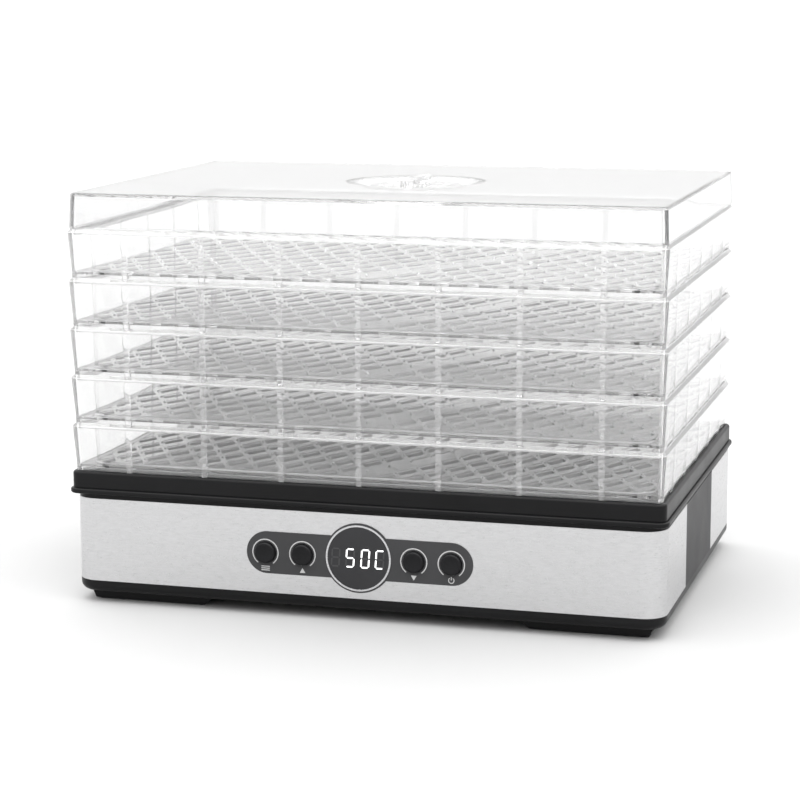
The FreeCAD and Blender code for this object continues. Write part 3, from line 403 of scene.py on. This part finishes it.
def carried(walk, section):
    # section rows are (half width, height, corner radius); each is a number or one value for every station
    # x = fixed + side * (half - radius) + turn * radius, and the same for y with the half depth
    count = len(walk)
    points = np.zeros((len(section), count, 3))
    for row, (half, height, radius) in enumerate(section):
        points[row, :, 0] = walk[:, 0] + walk[:, 1] * (half - radius) + walk[:, 2] * radius
        points[row, :, 1] = walk[:, 3] + walk[:, 4] * (half - stack["sideDifference"] - radius) + walk[:, 5] * radius
        points[row, :, 2] = height
    return points


def trayWallsShape(level, hook):
    # skirt, flared wall with ribs, chamfered rim, and the frame that holds the slotted floor
    walk = walkRound()
    rib, bend = walk[:, 6], walk[:, 7]
    foot = np.maximum(np.ceil(rib), bend)
    under = 2.5 - foot * 2.47
    tip = 2.5 - rib * (2.5 + hook) - bend * (2.5 + hook * 0.5)

    def flare(height):
        reach = 217.5 + (219.6 - 217.5) * (height - 2.5) / 30.8
        return reach + rib * np.maximum(219.2 - reach, 0)

    section = [
        (215.6, -4.4, 2.0), (216.0, -4.0, 2.0), (216.0, under - 0.3, 2.0), (216.3, under, 2.2),
        (217.25, under, 3.0), (flare(2.5) - 0.25, tip, 3.3), (flare(2.8), tip + 0.28, 3.5),
        (flare(6.0), 6.0, 3.5), (flare(14.0), 14.0, 3.5), (flare(24.0), 24.0, 3.5), (flare(31.6), 31.6, 3.5),
        (219.56, 32.9, 3.5), (219.45, 33.35, 3.5), (217.45, 35.4, 3.3), (217.2, 35.55, 3.2), (216.8, 35.58, 2.8),
        (216.52, 35.3, 2.5), (216.1, 24.0, 2.4), (215.7, 13.0, 2.3), (215.35, 4.7, 2.2), (214.9, 4.1, 2.4),
        (209.5, 4.1, 14.0), (209.05, 4.35, 14.0), (209.0, 4.8, 14.0), (208.7, 5.1, 13.7), (206.65, 5.1, 12.0),
        (206.65, 2.5, 12.0), (213.9, 2.5, 2.5), (214.2, 2.2, 1.6), (214.2, -4.0, 1.6), (214.6, -4.4, 1.7),
    ]
    points = carried(walk, section)
    points[:, :, 2] += level
    # zone 1 is the ribs, rim, skirt and frame, given a whiter, more scattering finish as a painted glow of their
    # edges; zone 2 is their narrow rounds and the frame's edge, whiter still as painted highlights
    zones = np.zeros((len(section), len(walk)), int)
    zones[6:10] = ((np.maximum(rib, np.roll(rib, -1)) > 0) | (bend > 0))[None, :]
    for first, last, zone in ((0, 6, 1), (5, 6, 2), (10, 13, 1), (11, 12, 2), (13, 16, 2), (20, 31, 1), (21, 24, 2)):
        zones[first:last] = zone
    return points.reshape(-1, 3), gridFaces(len(section), len(walk), True, True), zones.ravel()


lattice = {
    "lean": 63.0,           # degrees between the strips and the long side
    "stripStep": 21.5,      # along X
    "stripWidth": 4.7,
    "offset": -1.4,
    "period": 25.0,         # along a strip
    "rows": [(2.5, True), (3.5, False), (9.0, True), (10.0, False)],  # thin slot, rung, main slot, broad rung
    "half": 206.6,
    "cornerRadius": 12.0,
    "top": 5.1,
    "sheet": 2.6,
    "firstCut": 7.0,
    "ladders": range(-17, 18),
    "repeats": range(-14, 15),
    "bandPoint": (-12.0, -146.0),
    "bandHalf": 5.5,
    "studRadii": (0.55, 0.95, 1.1),
    "studHeights": (0.85, 0.5, 0.0),
    "studTop": 0.95,
    "studSides": 8,
    "studStretch": 1.5,
    "studDown": 14.0,       # from the strip's start
    "studExtent": (202.0, 137.0),
}


def latticeSheet():
    # point = strip start + across * ladder + along * distance down the strip, with the slot cells left open
    lean = math.radians(lattice["lean"])
    along = np.array([math.cos(lean), -math.sin(lean)])
    gap = lattice["stripStep"] - lattice["stripWidth"]
    rung = np.array([math.cos(lean), math.sin(lean)]) * gap / (2 * math.cos(lean))
    cuts = [0.0]
    openRow = []
    for length, isOpen in lattice["rows"]:
        cuts.append(cuts[-1] + length)
        openRow.append(isOpen)
    repeats = np.array(lattice["repeats"])
    downs = (repeats[:, None] * lattice["period"] + np.array(cuts[:-1])[None, :]).ravel() + lattice["firstCut"]
    openRows = np.tile(openRow, len(repeats))[:-1]
    ladders = np.array(lattice["ladders"])
    starts = ladders * lattice["stripStep"] + lattice["stripWidth"] / 2 + lattice["offset"]
    left = np.stack([starts, np.zeros(len(starts))], -1)
    edges = np.stack([left, left + rung], 1).reshape(-1, 2)
    flat = edges[None, :, :] + downs[:, None, None] * along[None, None, :]
    rowCount, columnCount = flat.shape[:2]
    quads = gridFaces(rowCount, columnCount, False, False).reshape(rowCount - 1, columnCount - 1, 4)
    isLadder = np.arange(columnCount - 1) % 2 == 0
    middle = (flat[:-1, :-1] + flat[1:, 1:]) / 2
    # a plain band crosses the middle, in the direction of the rungs
    side = np.array([rung[1], -rung[0]]) / np.linalg.norm(rung)
    band = np.abs((middle - np.array(lattice["bandPoint"])) @ side) < lattice["bandHalf"]
    shut = ~(openRows[:, None] & isLadder[None, :]) | band
    return flat.reshape(-1, 2), quads[shut]


def clippedLattice():
    # trims the lattice to the rounded plate and gives it its thickness
    flat, quads = latticeSheet()
    mesh = bmesh.new()
    corners = [mesh.verts.new((x, y, 0)) for x, y in flat]
    for quad in quads:
        mesh.faces.new([corners[i] for i in quad[::-1]])
    half, radius = lattice["half"] - 0.05, lattice["cornerRadius"]
    deep = half - stack["sideDifference"]
    for angle in np.radians(np.arange(0, 360, 15)):
        normal = Vector((math.cos(angle), math.sin(angle), 0))
        reachX = (half - radius) * np.sign(round(normal.x, 6))
        reachY = (deep - radius) * np.sign(round(normal.y, 6))
        spot = Vector((reachX, reachY, 0)) + normal * radius
        bmesh.ops.bisect_plane(mesh, geom=mesh.verts[:] + mesh.edges[:] + mesh.faces[:], dist=1e-5,
                               plane_co=spot, plane_no=normal, clear_outer=True)
    loose = [v for v in mesh.verts if not v.link_faces]
    bmesh.ops.delete(mesh, geom=loose, context="VERTS")
    bmesh.ops.remove_doubles(mesh, verts=mesh.verts[:], dist=1e-4)
    bmesh.ops.dissolve_degenerate(mesh, edges=mesh.edges[:], dist=1e-4)
    mesh.faces.ensure_lookup_table()
    mesh.verts.index_update()
    points = np.array([v.co[:] for v in mesh.verts])
    faces = [[v.index for v in f.verts] for f in mesh.faces]
    rims = [[loop.vert.index, loop.link_loop_next.vert.index]
            for e in mesh.edges if e.is_boundary for loop in e.link_loops]
    mesh.free()
    count = len(points)
    top = points + [0, 0, lattice["top"]]
    low = points + [0, 0, lattice["top"] - lattice["sheet"]]
    sides = [[a, a + count, b + count, b] for a, b in rims]
    under = [[i + count for i in f[::-1]] for f in faces]
    # zone 0 is the top, zone 1 the slots' sides and the underside
    return np.concatenate([top, low]), faces + sides + under, [0] * len(faces) + [1] * (len(sides) + len(under))


def studs(level):
    # low oval domes on the strips: a top point, then rings of falling height
    lean = math.radians(lattice["lean"])
    along = np.array([math.cos(lean), -math.sin(lean)])
    sides = lattice["studSides"]
    angle = np.arange(sides) * 2 * math.pi / sides
    radius = np.array(lattice["studRadii"])[:, None]
    height = np.broadcast_to(np.array(lattice["studHeights"])[:, None], (len(radius), sides))
    rings = np.stack([radius * np.cos(angle), lattice["studStretch"] * radius * np.sin(angle), height], -1)
    dome = np.concatenate([[[0, 0, lattice["studTop"]]], rings.reshape(-1, 3)])
    faces = [(0, 1 + k, 1 + (k + 1) % sides) for k in range(sides)]
    faces += gridFaces(len(radius), sides, False, True, 1)[:, ::-1].tolist()
    faces += [tuple(range(len(dome) - sides, len(dome)))[::-1]]
    pieces = []
    for ladder in lattice["ladders"]:
        for repeat in lattice["repeats"]:
            start = np.array([ladder * lattice["stripStep"] + lattice["offset"] + 0.8, 0])
            spot = start + along * (repeat * lattice["period"] + lattice["studDown"])
            if abs(spot[0]) < lattice["studExtent"][0] and abs(spot[1]) < lattice["studExtent"][1]:
                pieces.append((dome + [*spot, level + lattice["top"] + 0.03], faces))
    return several(pieces)


latticePoints, latticeFaces, latticeZones = clippedLattice()
print("lattice:", len(latticeFaces), "faces")
for index in range(stack["trays"]):
    level = stack["rimLevel"] + index * stack["pitch"]
    hook = stack["firstHook"] if index == 0 else stack["hook"]
    walls = meshFrom(f"tray{index + 1}Walls", *trayWallsShape(level, hook))
    evenShade(walls)
    # zone 1 takes the painted glow finish, zone 2 the painted highlights
    paint(walls, "clearTray", "clearRibPaintedGlow", "paintedHighlightEdge")
    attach(walls, f"tray_{index + 1}")
    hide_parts(f"tray_{index + 1}_walls")
    studPoints, studFaces = studs(level)
    floorShape = several([(latticePoints + [0, 0, level], latticeFaces), (studPoints, studFaces)])
    # the studs take zone 2, the painted highlight finish
    floor = meshFrom(f"tray{index + 1}Floor", *floorShape, latticeZones + [2] * len(studFaces))
    paint(floor, "floorTop", "clearFloor", "paintedHighlightEdge")
    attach(floor, f"tray_{index + 1}")
    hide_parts(f"tray_{index + 1}_floor")
print("trays made")


lid = {
    "level": 277.0,
    "ventFloor": 298.2,
    "boreRadius": 3.1,
    "holeRadius": 6.0,
    "holeCircle": 22.32,
    "holes": 6,
    "firstHole": 30,        # degrees
    "holeSteps": 28,
    "openingTurn": 38,      # degrees that line the round opening up with the outline's stations
    "dialRadius": 34.5,
    "gripSteps": 40,
}


def lidShape():
    # wall and rim carried round the outline; the top runs in to the round opening for the vent
    walk = walkRound()
    outer = [
        (215.6, -4.4, 2.0), (216.0, -4.0, 2.0), (216.0, -0.2, 2.0), (216.2, 0.03, 2.1), (218.3, 0.03, 3.4),
        (218.5, 0.3, 3.5), (218.2, 8.0, 3.5), (217.9, 16.0, 3.5), (217.55, 24.2, 3.5), (217.38, 24.95, 3.5),
        (216.95, 25.45, 3.4), (216.3, 25.68, 3.2), (215.0, 25.7, 3.0), (208.0, 25.7, 6.0),
    ]
    inner = [
        (208.0, 23.2, 6.0), (215.0, 23.2, 2.6), (214.45, 23.0, 2.3), (214.5, 22.4, 2.2), (214.9, 12.0, 2.2),
        (215.3, 1.2, 2.2), (215.0, 1.0, 2.2), (214.4, 1.0, 1.8), (214.2, 0.8, 1.6), (214.2, -4.0, 1.6),
        (214.6, -4.4, 1.7),
    ]
    count = len(walk)
    turn = np.arange(count) * 2 * math.pi / count - math.radians(lid["openingTurn"])

    def circle(radius, height):
        return np.stack([radius * np.cos(turn), radius * np.sin(turn), np.full(count, height)], -1)[None]

    opening = [circle(54.0, 25.7), circle(52.3, 25.7), circle(51.9, 25.5), circle(46.9, 23.3), circle(47.2, 23.2),
               circle(50.0, 23.2)]
    points = np.concatenate([carried(walk, outer), *opening, carried(walk, inner)])
    points[:, :, 2] += lid["level"]
    return points.reshape(-1, 3), gridFaces(len(points), count, True, True)


def pinTool(radius, low, high, spots):
    # upright round cutters
    steps = lid["holeSteps"]
    faces = gridFaces(2, steps, False, True).tolist() + [tuple(range(steps))[::-1], tuple(range(steps, 2 * steps))]
    pieces = [(turned([(radius, low), (radius, high)], steps, (x, y, 0))[0], faces) for x, y in spots]
    return meshFrom("pinTool", *several(pieces))


holeAngles = [math.radians(360 / lid["holes"] * k + lid["firstHole"]) for k in range(lid["holes"])]
holeSpots = [(lid["holeCircle"] * math.cos(angle), lid["holeCircle"] * math.sin(angle)) for angle in holeAngles]


def drilled(piece, low, high):
    # cuts the ring of air holes
    tool = pinTool(lid["holeRadius"], low, high, holeSpots)
    cut = piece.modifiers.new("airHoles", "BOOLEAN")
    cut.object = tool
    cut.solver = "EXACT"
    finishMesh(piece)
    bpy.data.objects.remove(tool)


lidShell = meshFrom("lidShell", *lidShape())
evenShade(lidShell)
paint(lidShell, "clearLid")
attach(lidShell, "lid")
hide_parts("lid")

dishFloor = lid["ventFloor"]
seatProfile = [(lid["boreRadius"], dishFloor - 2), (37.5, dishFloor - 2), (38.1, dishFloor - 1.8), (51.2, 302.4),
               (51.5, 302.66), (50.4, 302.66), (49.8, 302.4), (36.3, dishFloor + 0.15), (35.8, dishFloor),
               (lid["boreRadius"], dishFloor)]
ventSeat = meshFrom("ventSeat", *turned(seatProfile, 128, (0, 0, 0)))
drilled(ventSeat, dishFloor - 6, dishFloor + 3)
evenShade(ventSeat)
paint(ventSeat, "clearLid")
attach(ventSeat, "lid")
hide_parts("vent_seat")


def gripBar(halfWidth, halfLength, low, high, soft):
    # a bar with round ends: each level is an outline of two half circles joined by straight sides
    steps = lid["gripSteps"]
    angle = np.linspace(0, 2 * math.pi, steps, endpoint=False)
    levels = [(soft, low), (0.0, low + soft), (0.0, high - soft * 2), (soft * 0.6, high - soft * 0.6),
              (soft * 2, high)]
    points = []
    for inset, height in levels:
        reach = halfWidth - inset
        shift = np.where(np.sin(angle) >= 0, 1, -1) * (halfLength - halfWidth)
        points.append(np.stack([reach * np.cos(angle), reach * np.sin(angle) + shift, np.full(steps, height)], -1))
    faces = gridFaces(len(levels), steps, False, True).tolist()
    faces += [tuple(range(steps))[::-1], tuple(range(steps * (len(levels) - 1), steps * len(levels)))]
    return np.concatenate(points), faces


discLow = lid["ventFloor"] + 0.3
discBore = lid["boreRadius"] - 0.05
discEdge = lid["dialRadius"]
disc = turned([(discBore, discLow), (discEdge - 0.3, discLow), (discEdge, discLow + 0.3), (discEdge, discLow + 1.7),
               (discEdge - 0.3, discLow + 2.0), (discBore, discLow + 2.0)], 96, (0, 0, 0))
ventDial = meshFrom("ventDial", *disc)
drilled(ventDial, discLow - 1, discLow + 3)
grip = meshFrom("ventGrip", *gripBar(5.5, 29.0, discLow + 2.03, 305.98, 0.7))
paint(ventDial, "clearLid")
paint(grip, "clearLid")
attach(ventDial, "vent")
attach(grip, "vent")
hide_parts("vent_dial")
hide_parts("vent_dial")
print("lid made")


panel = {
    "level": 47.0,
    "front": -155.6,          # face of the fascia
    "lensFront": -156.1,
    "buttons": {"set": -70.0, "up": -42.0, "down": 41.0, "power": 68.5},
    "capFront": -158.58,
    "arcRadius": 9.6,
    "arcEnds": (-54, 234),    # degrees
    "arcWidth": 0.8,
    "signDrop": 11.7,         # from a button's middle down to its sign
    "lineWidths": (0.65, 0.6),  # of the bars, and of the power sign
}


def capShape(x):
    # a turned cap: rounded edge, shallow dish, and the flange and stem behind it
    depth = -panel["capFront"]
    profile = [(0.01, 150.25), (1.8, 150.3), (1.8, 152.68), (8.85, 152.72), (8.85, 153.86), (7.72, 153.92),
               (7.7, depth - 1.3), (7.55, depth - 0.75), (7.2, depth - 0.3), (6.7, depth - 0.05), (6.2, depth),
               (5.6, depth - 0.08), (4.2, depth - 0.3), (2.2, depth - 0.5), (0.01, depth - 0.58)]
    return turned(profile, 56, (x, 0, panel["level"]), "Y")


for key, x in panel["buttons"].items():
    cap = meshFrom(f"{key}Cap", *capShape(x))
    paint(cap, "capBlack")
    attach(cap, f"{key}_button")
    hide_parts(f"button_{key}")


def ribbon(path, width, front, thickness=0.06):
    # a flat printed line: the path with half the width on each side, as a thin closed strip
    path = np.asarray(path, float)
    step = np.gradient(path, axis=0)
    step /= np.linalg.norm(step, axis=1)[:, None]
    side = np.stack([-step[:, 1], step[:, 0]], -1) * width / 2
    corners = [path + side, path - side]
    back = front - thickness
    rows = [np.stack([c[:, 0], np.full(len(path), y), c[:, 1]], -1)
            for c, y in ((corners[0], front), (corners[1], front), (corners[1], back), (corners[0], back))]
    points = np.stack(rows, 0)
    count = len(path)
    faces = gridFaces(4, count, True, False).tolist()
    faces += [(0, count, 2 * count, 3 * count), tuple(count - 1 + k * count for k in range(4))[::-1]]
    return points.reshape(-1, 3), faces


def arc(x, z, radius, start, end, steps):
    angle = np.radians(np.linspace(start, end, steps))
    return np.stack([x + radius * np.cos(angle), z + radius * np.sin(angle)], -1)


def tile(corners, front, thickness=0.06):
    # a flat printed patch with the given corners
    corners = np.asarray(corners, float)
    count = len(corners)
    points = np.concatenate([np.stack([corners[:, 0], np.full(count, y), corners[:, 1]], -1)
                             for y in (front, front - thickness)])
    faces = [tuple(range(count)), tuple(range(count, 2 * count))[::-1]]
    faces += [(k, k + count, (k + 1) % count + count, (k + 1) % count) for k in range(count)]
    return points, faces


marks = []
markFront = panel["front"] - 0.01
for x in panel["buttons"].values():
    path = arc(x, panel["level"], panel["arcRadius"], *panel["arcEnds"], 60)
    marks.append(ribbon(path, panel["arcWidth"], markFront))
low = panel["level"] - panel["signDrop"]
for x, turnUp in ((panel["buttons"]["up"], 1), (panel["buttons"]["down"], -1)):
    tail, tip = low - 1.8 * turnUp, low + 1.8 * turnUp
    marks.append(tile([(x - 2.1, tail), (x + 2.1, tail), (x, tip)][::-turnUp], markFront))
barWidth, signWidth = panel["lineWidths"]
xSet = panel["buttons"]["set"]
for drop in (-1.4, 0, 1.4):
    marks.append(ribbon([(xSet + along, low + drop) for along in (-3.2, 0, 3.2)], barWidth, markFront))
xPower = panel["buttons"]["power"]
marks.append(ribbon(arc(xPower, low, 2.0, 125, 415, 24), signWidth, markFront))
marks.append(ribbon([(xPower, low + up) for up in (0.2, 1.4, 2.6)], signWidth, markFront))
buttonMarks = meshFrom("buttonMarks", *several(marks))
paint(buttonMarks, "whitePrint")
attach(buttonMarks, "base")

digits = {"width": 5.6, "height": 12.9, "stroke": 1.1, "slant": 0.07, "gap": 0.3,
          "centres": [-16.8, -6.0, 5.2, 16.0], "lit": ["", "afgcd", "abcdef", "adef"]}


def segments(centre, names):
    # bars of a seven-segment digit, each with pointed ends, leaning slightly
    wide, tall, stroke = digits["width"] / 2, digits["height"] / 2, digits["stroke"]
    ends = {"a": ((-wide, tall), (wide, tall)), "g": ((-wide, 0), (wide, 0)), "d": ((-wide, -tall), (wide, -tall)),
            "f": ((-wide, 0), (-wide, tall)), "b": ((wide, 0), (wide, tall)),
            "e": ((-wide, -tall), (-wide, 0)), "c": ((wide, -tall), (wide, 0))}
    pieces = []
    for name in names:
        first, last = (np.array(p, float) for p in ends[name])
        way = (last - first) / np.linalg.norm(last - first)
        side = np.array([-way[1], way[0]]) * stroke / 2
        first, last = first + way * digits["gap"], last - way * digits["gap"]
        tip = way * stroke / 2
        shape = np.array([first, first + tip - side, last - tip - side, last, last - tip + side, first + tip + side])
        shape[:, 0] += shape[:, 1] * digits["slant"] + centre
        shape[:, 1] += panel["level"]
        pieces.append(tile(shape[::-1], panel["lensFront"] - 0.01))
    return pieces


lit = [piece for centre, names in zip(digits["centres"], digits["lit"]) for piece in segments(centre, names)]
dim = [piece for centre, names in zip(digits["centres"], digits["lit"])
       for piece in segments(centre, "".join(sorted(set("abcdefg") - set(names))))]
for name, pieces, finishName in (("displayDigits", lit, "litDigit"), ("unlitDigits", dim, "unlitDigit")):
    shown = meshFrom(name, *several(pieces))
    paint(shown, finishName)
    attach(shown, "base")
print("panel made")


studio = {
    "floorColour": (0.38, 0.38, 0.38),
    "floorHalf": 6e4,
    "horizon": 0.92,          # brightness of the sky low down, and straight up
    "overhead": 4.6,
    "glowFrom": 0.25,         # upward part of the direction where it starts to get brighter
    "keyStrength": 0.4,
    "keyAngle": 70,
    "keyTilt": (38, 0, 25),
    "bounces": 32,
    "diffuseBounces": 8,
}

floorCorners = [(x * studio["floorHalf"], y * studio["floorHalf"], 0) for x, y in ((-1, -1), (1, -1), (1, 1), (-1, 1))]
floorPlane = meshFrom("studioFloor", floorCorners, [(0, 1, 2, 3)])
floorMaterial = bpy.data.materials.new("studioPaper")
floorMaterial.use_nodes = True
floorShader = floorMaterial.node_tree.nodes["Principled BSDF"]
floorShader.inputs["Base Color"].default_value = (*studio["floorColour"], 1)
floorShader.inputs["Roughness"].default_value = 0.7
floorShader.inputs["Specular IOR Level"].default_value = 0.2
floorPlane.data.materials.append(floorMaterial)

world = bpy.data.worlds.new("softStudio")
bpy.context.scene.world = world
world.use_nodes = True
sky = world.node_tree.nodes["Background"]
sky.inputs["Color"].default_value = (1, 1, 1, 1)
skyWay = world.node_tree.nodes.new("ShaderNodeTexCoord")
skyAxes = world.node_tree.nodes.new("ShaderNodeSeparateXYZ")
world.node_tree.links.new(skyWay.outputs["Generated"], skyAxes.inputs["Vector"])
spread(world.node_tree, skyAxes.outputs["Z"], studio["horizon"], studio["overhead"], sky.inputs["Strength"],
       studio["glowFrom"], 1.0)

key = bpy.data.lights.new("keyLight", "SUN")
key.energy = studio["keyStrength"]
key.angle = math.radians(studio["keyAngle"])
keyObject = bpy.data.objects.new("keyLight", key)
keyObject.rotation_euler = [math.radians(angle) for angle in studio["keyTilt"]]
bpy.context.scene.collection.objects.link(keyObject)

viewpoint = {"place": (480.15, -1734.6, 460.3), "turn": 0.277, "tilt": 0.179, "roll": -0.003, "lens": 107.06}
cameraData = bpy.data.cameras.new("camera")
cameraData.sensor_width = 36.0
cameraData.lens = viewpoint["lens"]
cameraData.clip_start = 0.05
cameraData.clip_end = 200
camera = bpy.data.objects.new("camera", cameraData)
bpy.context.scene.collection.objects.link(camera)
turnCamera = Matrix.Rotation(viewpoint["turn"], 4, "Z") @ Matrix.Rotation(math.pi / 2 - viewpoint["tilt"], 4, "X")
camera.matrix_world = (Matrix.Translation(Vector(viewpoint["place"]) * mm) @ turnCamera
                       @ Matrix.Rotation(viewpoint["roll"], 4, "Z"))
bpy.context.scene.camera = camera

bpy.context.scene.view_settings.view_transform = "Standard"
cycles = bpy.context.scene.cycles
cycles.max_bounces = studio["bounces"]
cycles.transmission_bounces = studio["bounces"]
cycles.transparent_max_bounces = studio["bounces"]
cycles.glossy_bounces = studio["bounces"]
cycles.diffuse_bounces = studio["diffuseBounces"]
print("studio ready")
